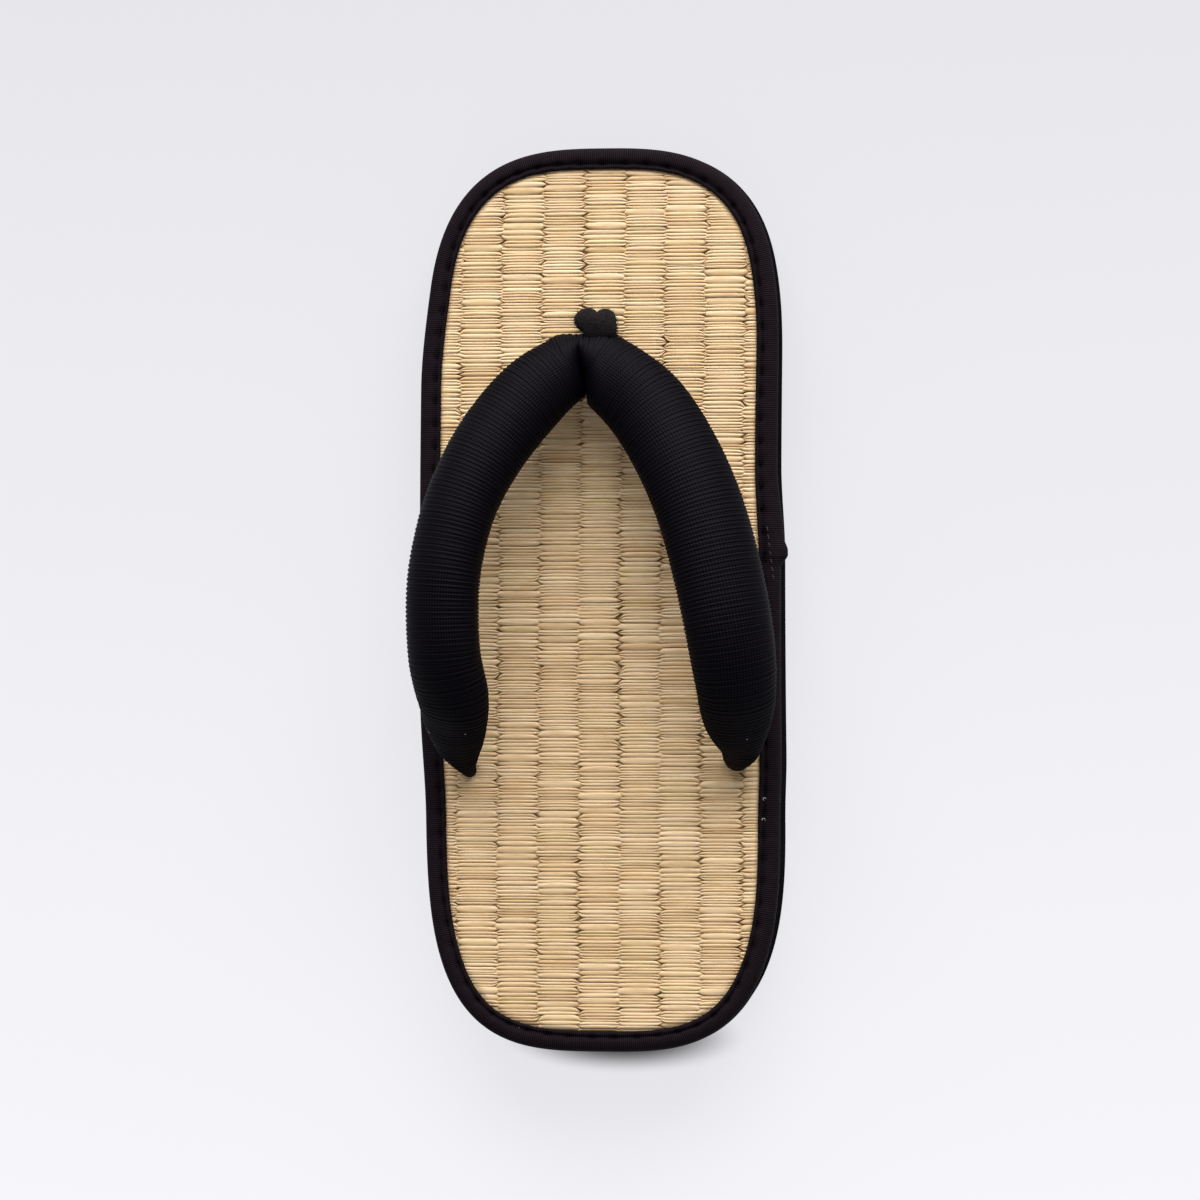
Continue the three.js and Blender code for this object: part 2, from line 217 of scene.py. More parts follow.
room = bpy.data.worlds.new("room")
room.use_nodes = True
room_light = room.node_tree.nodes["Background"]
feed(room.node_tree, room_light, {"Color": ROOM_COLOUR, "Strength": ROOM_STRENGTH})
scene.world = room
scene.view_settings.view_transform = "Standard"

# The outsole is a wedge of black foam with the plan outline of the shoe, cut flat underneath
# and rising to the heel. It is glued on last, and its edge shows as a dark band under the tape.
HALF_WIDTH = 52.2
# each end's length, and the power of its curve on the left and on the right side
TOE_ROUND = {"reach": 65.0, "powers": (3.0, 2.85)}
HEEL_ROUND = {"reach": 75.0, "powers": (3.4, 3.05)}
BOW = 1.8
LEFT_FULLNESS = 1.45
RIGHT_FULLNESS = 0.6
# stretches over which each side's fullness comes and goes, and where the right one turns in
LEFT_FULL_ENDS = ((92, 62), (-64, -28))
RIGHT_FULL_ENDS = ((-66, -46), (120, 90))
RIGHT_TURN = (40, 12)
SOLE_OUTSET = 0.2
SOLE_SHELF = -7.1
SOLE_SEAT = -6.0
# inset and height of the rings round the side: up from the floor, then down from the footbed
SOLE_FOOT = ((6.0, 0.0), (1.5, 0.0), (0.6, 0.25), (0.15, 0.8), (0.0, 1.6))
SOLE_SEAM = ((0.0, 2.7), (0.28, 3.08), (0.28, 3.32), (0.0, 3.7))
SOLE_SHOULDER = ((0.0, -8.4), (0.1, -7.7), (0.5, -7.25), (1.2, SOLE_SHELF))
SOLE_REBATE = ((5.1, SOLE_SHELF), (5.2, SOLE_SEAT))
PLATE_STEPS = 24
EDGE_POINTS = 720
OUTLINE_STEPS = 6000


def smoothstep(low, high, value):
    t = np.clip((value - low) / (high - low), 0, 1)
    return t * t * (3 - 2 * t)


def round_end(angle, reach, powers):
    across, along = np.cos(angle), np.sin(angle)
    power = np.where(across < 0, *powers)
    x = np.sign(across) * HALF_WIDTH * np.abs(across) ** (2 / power)
    y = np.sign(along) * reach * np.abs(along) ** (2 / power)
    return x, y


def outline(insets=0.0, count=EDGE_POINTS, start=0.0):
    """Even points anticlockwise round the edge from the heel, moved inwards by the insets.

    start turns the first point by millimetres along the edge.
    """
    angle = np.linspace(-np.pi / 2, 1.5 * np.pi, OUTLINE_STEPS, endpoint=False)
    toe_x, toe_y = round_end(angle, **TOE_ROUND)
    heel_x, heel_y = round_end(angle, **HEEL_ROUND)
    toe_start = LENGTH / 2 - TOE_ROUND["reach"]
    heel_start = HEEL_ROUND["reach"] - LENGTH / 2
    front = np.sin(angle) > 0
    x = np.where(front, toe_x, heel_x)
    y = np.where(front, toe_start + toe_y, heel_start + heel_y)
    x, y = np.append(x, x[0]), np.append(y, y[0])
    run = np.concatenate(([0], np.cumsum(np.hypot(np.diff(x), np.diff(y)))))
    at = (start + np.linspace(0, run[-1], count, endpoint=False)) % run[-1]
    x, y = np.interp(at, run, x), np.interp(at, run, y)
    dx, dy = np.roll(x, -1) - np.roll(x, 1), np.roll(y, -1) - np.roll(y, 1)
    size = np.hypot(dx, dy)
    x = x + BOW * (2 * y / LENGTH) ** 2
    left_full, right_full = (
        smoothstep(*front, y) * smoothstep(*back, y) for front, back in (LEFT_FULL_ENDS, RIGHT_FULL_ENDS)
    )
    x = x - LEFT_FULLNESS * (dy < 0) * left_full
    x = x + RIGHT_FULLNESS * (dy > 0) * right_full * (2 * smoothstep(*RIGHT_TURN, y) - 1)
    return x - insets * dy / size, y + insets * dx / size


def ring_faces(rings, count, closed=False):
    """Quads that skin rings of equal length. closed joins the last ring to the first."""
    bands = np.arange(rings if closed else rings - 1)[:, None]
    side = np.arange(count)
    beside = (side + 1) % count
    low, high = bands * count, (bands + 1) % rings * count
    quads = np.stack((low + side, low + beside, high + beside, high + side), -1)
    return quads.reshape(-1, 4).tolist()


def plate(ring, ring_first, inner_first):
    """Inner points and quads of a plate inside a ring: rungs between its left and right sides."""
    count = len(ring)
    half = count // 2
    rungs = np.arange(1, half)
    share = np.linspace(0, 1, PLATE_STEPS + 1)[1:-1, None]
    left, right = ring[count - rungs][:, None], ring[rungs][:, None]
    inner = (right * (1 - share) + left * share).reshape(-1, 3)
    index = np.full((half + 1, PLATE_STEPS + 1), ring_first)
    index[half] += half
    index[1:half, 0] += rungs
    index[1:half, -1] += count - rungs
    index[1:half, 1:-1] = inner_first + np.arange(len(inner)).reshape(half - 1, -1)
    quads = np.stack((index[:-1, :-1], index[1:, :-1], index[1:, 1:], index[:-1, 1:]), -1)
    return inner, [list(dict.fromkeys(quad)) for quad in quads.reshape(-1, 4).tolist()]


def black_foam():
    tree, place, shader, material = new_material("black_foam")
    pores = put(tree, "TexVoronoi", {"Vector": place, "Scale": 1500.0})
    cloud = noise(tree, place, 90.0, 4.0)
    feed(tree, shader, {
        "Base Color": blend(tree, cloud, (0.0030, 0.0026, 0.0032, 1), (0.0080, 0.0072, 0.0084, 1)),
        "Normal": bumps(tree, pores, 0.5, 0.0003),
        "Roughness": 0.9,
        "Specular IOR Level": 0.0,
    })
    return material


def foam_sole():
    def on_slope(inset, z):
        x, y = outline(inset - SOLE_OUTSET)
        return on_footbed(np.stack((x, y, np.full_like(x, z)), -1))

    def on_floor(inset, z):
        ring = on_slope(inset, SOLE_SHELF)
        ring[:, 2] = z * MM
        return ring

    rings = [on_floor(*row) for row in SOLE_FOOT + SOLE_SEAM]
    rings += [on_slope(*row) for row in SOLE_SHOULDER + SOLE_REBATE]
    side = np.concatenate(rings)
    under, under_faces = plate(rings[0], 0, len(side))
    over, over_faces = plate(rings[-1], len(side) - EDGE_POINTS, len(side) + len(under))
    faces = ring_faces(len(rings), EDGE_POINTS) + under_faces + [face[::-1] for face in over_faces]
    return smooth_piece("foam_sole", np.concatenate((side, under, over)), faces, black_foam(), sharp=35)


sole = foam_sole()
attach(sole, "root")
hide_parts("outsole")

# The insole board is a stiff pressed fibre sheet that carries the mat and is wrapped round its
# edge by the tape. It is closed in on all sides, so it keeps its plain plate shape.
def fibre_board():
    tree, place, shader, material = new_material("fibre_board")
    fibres = noise(tree, place, 700.0, 6.0, Distortion=1.5)
    feed(tree, shader, {
        "Base Color": blend(tree, fibres, (0.16, 0.10, 0.055, 1), (0.30, 0.21, 0.12, 1)),
        "Normal": bumps(tree, fibres, 0.4, 0.0003),
        "Roughness": 0.85,
    })
    return material


board_material = fibre_board()
for board_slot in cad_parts["insole_board"].material_slots:
    board_slot.material = board_material

# The footbed mat is woven from split rush over hidden lengthwise strings. Each stalk shows as a
# short flat float across one column, and its pointed ends dive under the next column's floats.
MAT_BOTTOM = -2.4
MAT_BASE_TOP = -1.0
MAT_INSET = 1.8
LIP_INSET = 6.2
PRESSED_TOP = -1.3
PRESS_DEPTH = 0.9
COLUMN_PITCH = 11.95
COLUMN_MIDDLE = -0.3
COLUMNS = 9
COLUMN_LEAN = 0.016
COLUMN_WAVE = 0.3
COLUMN_WAVE_RUN = 29.0
BUNDLE_PITCH = 2.1
BUNDLE_SIZES = (0.60, 0.78, 0.92, 1.0, 1.0, 1.12, 1.35, 1.6)
BUNDLE_SKEW = 0.22
BUNDLE_BOW = 0.16
BUNDLE_LIFT = 0.10
SHORTEST_FLOAT = 1.5
TUCK_UNDER_LIP = 1.2
STEM_WIDTH = 0.92
STEM_CROWN = 0.5
STEM_STATIONS = (0.0, 0.05, 0.11, 0.18, 0.27, 0.42, 0.58, 0.73, 0.82, 0.89, 0.95, 1.0)
# across and up, as shares of the stem's half width and crown
STEM_ACROSS = np.array((1.0, 0.98, 0.62, 0.0, -0.62, -0.98, -1.0))
STEM_UP = np.array((-1.0, 0.1, 0.85, 1.0, 0.85, 0.1, -1.0))
TIP_REACH = 0.95
TIP_SCATTER = 0.55
TIP_WIDTH = 0.22
TIP_DIVE = 0.62
# stretch from a stem's tip over which it flattens and the painted shade on its heel side fades
FLATTEN_RUN = (1.8, 4.8)
FLATTENING = 0.6
# share of bundles whose painted gap shade stays dark along the middle, how far it fades there in them and
# in the rest, and how much weaker it is between stems of one bundle
OPEN_GAPS = 0.25
OPEN_GAP_FADE = 0.15
CLOSED_GAP_FADE = 0.42
INNER_STEM_GAP = 0.84
LIGHT_SPREAD = 0.17
HUE_SPREAD = 0.2
STEM_LIGHT_SPREAD = 0.08
HOLES = ((-0.9, 80.3, 3.9), (-38.1, -51.0, 3.0), (39.6, -49.8, 3.2))
HOLE_PULL = (0.9, 1.6, 1.6)
HOLE_SIDES = 24
MAT_SEED = 11


def edge_distance(x, y):
    """How far points lie in from the outline, in millimetres."""
    rim_x, rim_y = outline(count=400)
    flat = np.stack((np.ravel(x), np.ravel(y)), -1)
    parts = np.array_split(flat, len(flat) // 4000 + 1)
    near = [np.hypot(part[:, :1] - rim_x, part[:, 1:] - rim_y).min(1) for part in parts]
    return np.concatenate(near).reshape(np.shape(x))


def bundle_lines(rng):
    """Uneven edges of the bundles in the odd and the even columns, from heel to toe."""
    odd = [-LENGTH / 2]
    while odd[-1] < LENGTH / 2:
        odd.append(odd[-1] + BUNDLE_PITCH * rng.choice(BUNDLE_SIZES) * rng.uniform(0.92, 1.08))
    gaps = zip(odd, odd[1:])
    even = [low + (high - low) * rng.uniform(0.32, 0.68) for low, high in gaps]
    return odd, even


def rush_bundles(rng):
    """Each bundle in turn: its sides, its tips, and its ends where the tape's lip covers it."""
    lines = bundle_lines(rng)
    rim_x, rim_y = outline(LIP_INSET - TUCK_UNDER_LIP, 2 * EDGE_POINTS)
    right_rim, left_rim = slice(0, EDGE_POINTS), slice(None, EDGE_POINTS - 1, -1)
    for column in range(COLUMNS):
        middle = COLUMN_MIDDLE + (column + 0.5 - COLUMNS / 2) * COLUMN_PITCH
        drift = rng.uniform(0, 6)
        for low, high in zip(lines[column % 2], lines[column % 2][1:]):
            y = (low + high) / 2
            if abs(y) >= LENGTH / 2 - LIP_INSET + 1.0:
                continue
            shift = COLUMN_LEAN * max(y, 0) + COLUMN_WAVE * math.sin(y / COLUMN_WAVE_RUN + drift)
            half = COLUMN_PITCH / 2 + TIP_REACH
            left = middle + shift - half + TIP_SCATTER * rng.uniform(-1, 1)
            right = middle + shift + half + TIP_SCATTER * rng.uniform(-1, 1)
            mat_left = np.interp(y, rim_y[left_rim], rim_x[left_rim])
            mat_right = np.interp(y, rim_y[right_rim], rim_x[right_rim])
            if left <= mat_right - SHORTEST_FLOAT and right >= mat_left + SHORTEST_FLOAT:
                yield low, high, left, right, max(left, mat_left), min(right, mat_right)


def bundle_stems(rng, low, high):
    """Shares of a bundle's width that its one to four stems take."""
    most = max(1, min(4, round((high - low) / STEM_WIDTH)))
    count = max(rng.choice((most - 1, most, most)), 1)
    cuts = [0.0, *sorted((k + rng.uniform(-0.16, 0.16)) / count for k in range(1, count)), 1.0]
    return zip(cuts, cuts[1:])


def tone(rng, middle, spread):
    return min(max(middle + spread * rng.gauss(0, 1), 0), 1)


def rush_stems():
    """Rings of every stem, with its light, hue and body, and which way each point faces, which sets where
    the painted shade falls on its heel-facing edge.
    """
    rng, gap_rng = random.Random(MAT_SEED), random.Random(MAT_SEED + 1)
    share = np.array(STEM_STATIONS)
    level = np.where(STEM_UP > 0, STEM_UP - 1, -1.0)
    points, stalk, side = [], [], []
    for low, high, left, right, from_x, to_x in rush_bundles(rng):
        width = high - low
        x = from_x + (to_x - from_x) * share
        skew = [rng.uniform(-BUNDLE_SKEW, BUNDLE_SKEW) * width for _ in range(2)]
        bow = rng.uniform(-BUNDLE_BOW, BUNDLE_BOW)
        bundle_light, hue = tone(rng, 0.5, LIGHT_SPREAD), tone(rng, 0.5, HUE_SPREAD)
        lift = BUNDLE_LIFT * rng.uniform(-1, 1)
        gap_fade = OPEN_GAP_FADE if gap_rng.random() < OPEN_GAPS else CLOSED_GAP_FADE
        reach = np.minimum(x - left, right - x)
        mid = smoothstep(*FLATTEN_RUN, reach)
        dive = TIP_DIVE * (1 - smoothstep(0, 1.7 * TIP_REACH, reach))
        line = (low + high) / 2 + bow * (1 - (2 * share - 1) ** 2)
        for stem_low, stem_high in bundle_stems(rng, low, high):
            from_middle = ((stem_low + stem_high) / 2 - 0.5) * width
            half = (stem_high - stem_low) * width / 2
            full = smoothstep(-0.2, 2 * TIP_REACH + 0.2, reach + 0.15 * rng.uniform(-1, 1))
            narrow = TIP_WIDTH + 0.82 * full ** 0.85
            skewed = np.where(x - left < right - x, *skew) * (1 - full)
            y = (line + skewed + from_middle * narrow)[:, None] + (half * narrow)[:, None] * STEM_ACROSS
            crown = STEM_CROWN * rng.uniform(0.8, 1.15) * min(1, half / 0.55 + 0.25)
            crown = crown * (1 - FLATTENING * mid)
            z = (lift - dive - 0.06 * rng.random())[:, None] + crown[:, None] * level
            z = np.where(STEM_UP < 0, np.minimum(z, MAT_BASE_TOP - 0.1), z)
            light = tone(rng, bundle_light, STEM_LIGHT_SPREAD)
            points.append(np.stack(np.broadcast_arrays(x[:, None], y, z), -1))
            stalk.append(np.stack(np.broadcast_arrays(light, hue, full[:, None] + 0 * level), -1))
            facing = STEM_ACROSS * (1.0 if stem_low == 0 else INNER_STEM_GAP)
            side.append((1 - gap_fade * mid)[:, None] * facing)
    return np.array(points), np.array(stalk), np.array(side)


def press_down(points):
    """The mat sinks under the tape's lip and is drawn in round the holes of the strap."""
    inset = edge_distance(points[..., 0], points[..., 1])
    points[..., 2] -= PRESS_DEPTH * (1 - smoothstep(LIP_INSET - 0.6, LIP_INSET + 1.6, inset))
    for (x, y, radius), reach in zip(HOLES, HOLE_PULL):
        away = np.hypot(points[..., 0] - x, points[..., 1] - y)
        points[..., 2] -= PRESS_DEPTH * (1 - smoothstep(radius - 1.5, radius - 1.5 + reach, away))
    points[..., 2] = np.maximum(points[..., 2], MAT_BOTTOM + 0.1)
    return points


def ramp(tree, value, stops):
    """Colours at positions from 0 to 1, looked up by a value."""
    node = put(tree, "ValToRGB", {"Fac": value})
    colours = node.color_ramp.elements
    for position, colour in stops[1:-1]:
        colours.new(position).color = colour
    for element, (position, colour) in zip((colours[0], colours[-1]), (stops[0], stops[-1])):
        element.position = position
        element.color = colour
    return node


def new_group(name, inputs, outputs):
    """An empty node group, the outputs of its source and its end node."""
    group = bpy.data.node_groups.new(name, "ShaderNodeTree")
    for way, sockets in (("INPUT", inputs), ("OUTPUT", outputs)):
        for socket, kind in sockets.items():
            group.interface.new_socket(socket, in_out=way, socket_type="NodeSocket" + kind)
    return group, group.nodes.new("NodeGroupInput").outputs, group.nodes.new("NodeGroupOutput")


def rush_grain_group():
    """Noise drawn out along the stalks, as a value."""
    inputs = {"Place": "Vector", "Scale": "Vector", "Detail": "Float"}
    group, source, ends = new_group("rush_grain", inputs, {"Grain": "Float"})
    stretched = put(group, "Mapping", {"Vector": source["Place"], "Scale": source["Scale"]})
    feed(group, ends, {"Grain": noise(group, stretched, 1.0, source["Detail"])})
    return group


RUSH_GRAIN = rush_grain_group()


def rush_grain(tree, place, scale, detail):
    inputs = {"Place": place, "Scale": scale, "Detail": detail}
    return put(tree, "Group", inputs, node_tree=RUSH_GRAIN)


def split_rush():
    tree, place, shader, material = new_material("split_rush")
    tone_parts = put(tree, "SeparateColor", {"Color": put(tree, "Attribute", attribute_name="stalk")})
    side = put(tree, "Attribute", attribute_name="side")
    grain = rush_grain(tree, place, (90.0, 3200.0, 900.0), 3.0)
    blotch = rush_grain(tree, place, (220.0, 700.0, 500.0), 2.0)
    light = ramp(tree, tone_parts.outputs["Red"], (
        (0.0, (0.542, 0.374, 0.198, 1)),
        (0.5, (0.655, 0.491, 0.294, 1)),
        (1.0, (0.729, 0.570, 0.372, 1)),
    ))
    hue = ramp(tree, tone_parts.outputs["Green"], (
        (0.0, (0.96, 0.99, 0.88, 1)),
        (0.3, (1, 1, 0.98, 1)),
        (0.7, (1, 0.985, 0.98, 1)),
        (1.0, (1.0, 0.955, 0.88, 1)),
    ))
    streak = ramp(tree, grain, ((0.28, (0.68, 0.59, 0.47, 1)), (0.62, (1.04, 1.03, 1.02, 1))))
    patch = put(tree, "MapRange", {"Value": blotch, "From Min": 0.42, "From Max": 0.72})
    # painted shade: the rush darkens towards each stem's tips, where they dive under the next column
    tip = put(tree, "MapRange", {"Value": tone_parts.outputs["Blue"], "From Max": 0.55})
    # painted shade: the heel-facing edge of every stem turns dark brown, standing for the shade between
    # stems
    painted_gap_shade = put(tree, "MapRange", {"Value": side.outputs["Fac"], "From Min": -0.58, "From Max": -1.0})
    rush = blend(tree, 1.0, light, hue, "MULTIPLY")
    rush = blend(tree, 0.62, rush, streak, "MULTIPLY")
    rush = blend(tree, patch, rush, (0.94, 0.89, 0.80, 1), "MULTIPLY")
    rush = blend(tree, tip, blend(tree, 1.0, rush, (0.80, 0.69, 0.53, 1), "MULTIPLY"), rush)
    feed(tree, shader, {
        "Base Color": blend(tree, painted_gap_shade, rush, (0.24, 0.14, 0.06, 1)),
        "Normal": bumps(tree, grain, 0.35, 0.00012),
        "Roughness": put(tree, "MapRange", {"Value": grain, "To Min": 0.38, "To Max": 0.58}),
        "Specular IOR Level": 0.35,
    })
    return material


def backing_with_painted_shade():
    tree, place, shader, material = new_material("rush_base")
    grain = rush_grain(tree, place, (120.0, 1600.0, 600.0), 3.0)
    # painted shade: the backing is a darker brown than the rush, standing for the shade in the gaps
    # between the stems
    colour = blend(tree, grain, (0.16, 0.10, 0.05, 1), (0.34, 0.23, 0.12, 1))
    feed(tree, shader, {"Base Color": colour, "Roughness": 0.8})
    return material


def tube_piece(name, rings, material, sharp=None):
    """A piece of one tube or many, capped at both ends, from rings of footbed points."""
    rings = np.asarray(rings)
    stations, sides = rings.shape[-3:-1]
    per = stations * sides
    cap = list(range(sides))
    tube = ring_faces(stations, sides) + [cap[::-1], [per - sides + i for i in cap]]
    points = on_footbed(rings.reshape(-1, 3))
    faces = [[first + i for i in face] for first in range(0, len(points), per) for face in tube]
    return smooth_piece(name, points, faces, material, sharp)


def weave_piece(name, points, stalk, side, material):
    piece = tube_piece(name, points, material, sharp=65)
    colour = piece.data.color_attributes.new("stalk", "FLOAT_COLOR", "POINT")
    colour.data.foreach_set("color", np.insert(stalk.reshape(-1, 3), 3, 1.0, axis=1).ravel())
    # which way each point faces, for the painted shade on the stems' heel-facing edges
    edge = piece.data.attributes.new("side", "FLOAT", "POINT")
    edge.data.foreach_set("value", side.ravel())
    return piece


def woven_mat():
    """The weave in two pieces, its toe half and its heel half."""
    points, stalk, side = rush_stems()
    points = press_down(points)
    material = split_rush()
    toe = points[:, 0, -1, 1] > 0
    return [
        weave_piece(name, points[half], stalk[half], side[half], material)
        for name, half in (("rush_weave_toe", toe), ("rush_weave_heel", ~toe))
    ]


def mat_base():
    """Backing plate of the mat, with holes for the loop and the strap's two tails, coloured darker than
    the rush as painted shade in the gaps between the stems.
    """
    form = bmesh.new()
    loops = [np.transpose(outline(MAT_INSET, 240))]
    turns = np.linspace(0, 2 * np.pi, HOLE_SIDES, endpoint=False)
    circle = np.stack((np.cos(turns), np.sin(turns)), -1)
    loops += [circle * radius + (x, y) for x, y, radius in HOLES]
    edges = []
    for loop in loops:
        corners = [form.verts.new((x, y, MAT_BOTTOM)) for x, y in loop]
        edges += [form.edges.new((a, b)) for a, b in zip(corners, corners[1:] + corners[:1])]
    bmesh.ops.triangle_fill(form, use_beauty=True, edges=edges)
    lifted = bmesh.ops.extrude_face_region(form, geom=form.faces[:])
    for item in lifted["geom"]:
        if isinstance(item, bmesh.types.BMVert):
            item.co.z = MAT_BASE_TOP
    bmesh.ops.recalc_face_normals(form, faces=form.faces[:])
    flat = np.array([corner.co for corner in form.verts])
    form.verts.index_update()
    faces = [[corner.index for corner in face.verts] for face in form.faces]
    form.free()
    inset = edge_distance(flat[:, 0], flat[:, 1])
    flat[:, 2] = np.where((flat[:, 2] > MAT_BOTTOM) & (inset < LIP_INSET), PRESSED_TOP, flat[:, 2])
    return smooth_piece("rush_base", on_footbed(flat), faces, backing_with_painted_shade(), sharp=0)


for mat_piece in (*woven_mat(), mat_base()):
    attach(mat_piece, "root")
    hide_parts("rush_mat")

# The edge is bound with a wide ribbed tape. It is rolled over the mat as a narrow lip, held by
# one row of sunk stitches, pulled over the side and folded in under the board.
TAPE_RINGS = 1500
TAPE_JOINT_AT = 13.0
RIB_PITCH = 0.62
STITCH_PITCH = 6.7
STITCH_INSET = 4.72
STITCH_GAP = 1.0
STITCH_HEIGHT = -0.04
STITCH_RADIUS = 0.20
STITCH_DIP = 0.35
STITCH_STATIONS = 9
STITCH_SIDES = 8
PIT_LENGTH = 1.35
PIT_DEPTH = 0.75
JOINT_BACK = 9.5
JOINT_FRONT = 40.0
JOINT_SWELL = 2.05
JOINT_SEAM = np.array(((49.0, 21.5, 1.12), (51.0, 5.0, 0.86)))
JOINT_STITCHES = 7
JOINT_THREAD_RADIUS = 0.15
JOINT_STITCH_DIP = 0.3
LINT_SPOTS = ((48.4, -58.4), (48.1, -64.4))
LINT_RADIUS = 0.07
LINT_SPECK = 0.10
FLUFF_SIDES = 6
# inset from the outline, height, and the share of the joint's swelling that each point takes
TAPE_SECTION = (
    (6.05, -0.92, 0.0),
    (6.24, -0.55, 0.0),
    (6.26, -0.05, 0.0),
    (6.05, 0.38, 0.0),
    (5.68, 0.62, 0.0),
    (5.28, 0.60, 0.02),
    (4.98, 0.32, 0.03),
    (4.74, 0.02, 0.04),
    (4.50, 0.16, 0.05),
    (4.15, 0.54, 0.06),
    (3.70, 0.76, 0.07),
    (3.10, 0.84, 0.08),
    (2.40, 0.80, 0.09),
    (1.75, 0.64, 0.1),
    (1.15, 0.34, 0.15),
    (0.65, -0.20, 0.25),
    (0.28, -1.00, 0.5),
    (0.06, -1.95, 0.85),
    (0.0, -3.0, 1.0),
    (0.0, -4.2, 1.0),
    (0.12, -5.2, 0.95),
    (0.42, -6.0, 0.8),
    (0.95, -6.6, 0.5),
    (1.60, -6.78, 0.15),
    (3.0, -6.80, 0.0),
    (4.5, -6.80, 0.0),
    (4.5, -6.05, 0.0),
    (1.5, -6.05, 0.0),
    (1.4, -4.0, 0.0),
    (1.4, -1.0, 0.0),
    (3.6, -0.98, 0.0),
)
# points of the section above this height are on the rolled-over top
TAPE_TOP = -0.9


def pulse(distance, width):
    return np.exp(-((distance / width) ** 2))


def unit(vectors):
    return vectors / np.linalg.norm(vectors, axis=-1)[:, None]


def tape_run():
    """Length of the edge, and how far along it the tape's joint lies."""
    x, y = outline()
    total = float(np.hypot(x - np.roll(x, 1), y - np.roll(y, 1)).sum())
    off_joint = np.where(x > 0, np.abs(y - TAPE_JOINT_AT), np.inf)
    return total, np.argmin(off_joint) * total / EDGE_POINTS


def stitch_wander(at):
    """How far the stitched row strays inwards, along the edge."""
    return 0.22 * np.sin(at / 17.0) + 0.12 * np.sin(at / 6.1 + 1.0)


def maths(group, operation, *values):
    return put(group, "Math", dict(enumerate(values)), operation=operation)


def cord_weave_group():
    """Ribbed cloth: ribs across one way, and fine threads that cross both ways."""
    sizes = ("Along", "Around", "Rib Pitch", "Thread Pitch", "Thread Share")
    masks = ("Height", "Rib", "Hatch")
    floats = [dict.fromkeys(names, "Float") for names in (sizes, masks)]
    group, source, ends = new_group("cord_weave", *floats)

    def wave(length, pitch):
        angle = maths(group, "MULTIPLY", maths(group, "DIVIDE", length, pitch), 2 * math.pi)
        return maths(group, "MULTIPLY_ADD", maths(group, "COSINE", angle), -0.5, 0.5)

    rib = wave(source["Along"], source["Rib Pitch"])
    crossing = wave(source["Along"], source["Thread Pitch"])
    hatch = maths(group, "MULTIPLY", crossing, wave(source["Around"], source["Thread Pitch"]))
    height = maths(group, "ADD", rib, maths(group, "MULTIPLY", hatch, source["Thread Share"]))
    feed(group, ends, {"Height": height, "Rib": rib, "Hatch": hatch})
    return group


def lint_group():
    """Sparse pale specks of lint caught in cloth, as a mask."""
    inputs = {"Place": "Vector", "Scale": "Float", "Amount": "Float"}
    group, source, ends = new_group("lint", inputs, {"Mask": "Float"})
    cells = put(group, "TexVoronoi", {"Vector": source["Place"], "Scale": source["Scale"]})
    chance = put(group, "SeparateColor", {"Color": cells.outputs["Color"]})
    chosen = maths(group, "LESS_THAN", chance, source["Amount"])
    speck = maths(group, "LESS_THAN", cells, LINT_SPECK)
    feed(group, ends, {"Mask": maths(group, "MULTIPLY", chosen, speck)})
    return group


def thread_twist_group():
    """Pale and dark turns of a twisted thread, as a mask."""
    group, source, ends = new_group("thread_twist", {"Place": "Vector"}, {"Twist": "Float"})
    coil = {"Vector": source["Place"], "Scale": 900.0, "Distortion": 2.0}
    wave = put(group, "TexWave", coil, bands_direction="DIAGONAL")
    feed(group, ends, {"Twist": wave.outputs["Fac"]})
    return group


CORD_WEAVE = cord_weave_group()
LINT = lint_group()
THREAD_TWIST = thread_twist_group()


def woven_cloth(tree, rib_pitch, thread_pitch, thread_share):
    """The cord weave laid along a cloth mesh, and the depth of the ribs that the mesh carries."""
    run = put(tree, "Attribute", attribute_name="run").outputs["Vector"]
    parts = put(tree, "SeparateXYZ", {"Vector": run}).outputs
    sizes = {
        "Along": parts["X"],
        "Around": parts["Y"],
        "Rib Pitch": rib_pitch,
        "Thread Pitch": thread_pitch,
        "Thread Share": thread_share,
    }
    return put(tree, "Group", sizes, node_tree=CORD_WEAVE).outputs, parts["Z"]


def with_lint(tree, place, cloth, scale, amount, pale):
    """Cloth colour with specks of lint caught in it."""
    specks = put(tree, "Group", {"Place": place, "Scale": scale, "Amount": amount}, node_tree=LINT)
    return blend(tree, specks, cloth, pale)


def set_run(mesh, along, around, depth):
    """Store run and girth in millimetres, and depth of the ribs, on a cloth mesh."""
    values = np.stack(np.broadcast_arrays(along, around, depth), -1)
    mesh.attributes.new("run", "FLOAT_VECTOR", "POINT").data.foreach_set("vector", values.ravel())


def ribbed_tape():
    tree, place, shader, material = new_material("ribbed_tape")
    weave, _ = woven_cloth(tree, RIB_PITCH, 0.31, 0.1)
    cloud = noise(tree, place, 260.0, 4.0)
    base = blend(tree, cloud, (0.0095, 0.0060, 0.0082, 1), (0.0215, 0.0140, 0.0190, 1))
    # painted shade: the grooves between the tape's ribs are coloured near black
    groove_shaded = blend(tree, weave["Rib"], (0.0012, 0.0008, 0.0012, 1), base)
    feed(tree, shader, {
        "Base Color": with_lint(tree, place, groove_shaded, 420.0, 0.0016, (0.25, 0.24, 0.24, 1)),
        "Normal": bumps(tree, weave["Height"], 0.8, 0.00011),
        "Roughness": 0.85,
        "Specular IOR Level": 0.04,
    })
    return material


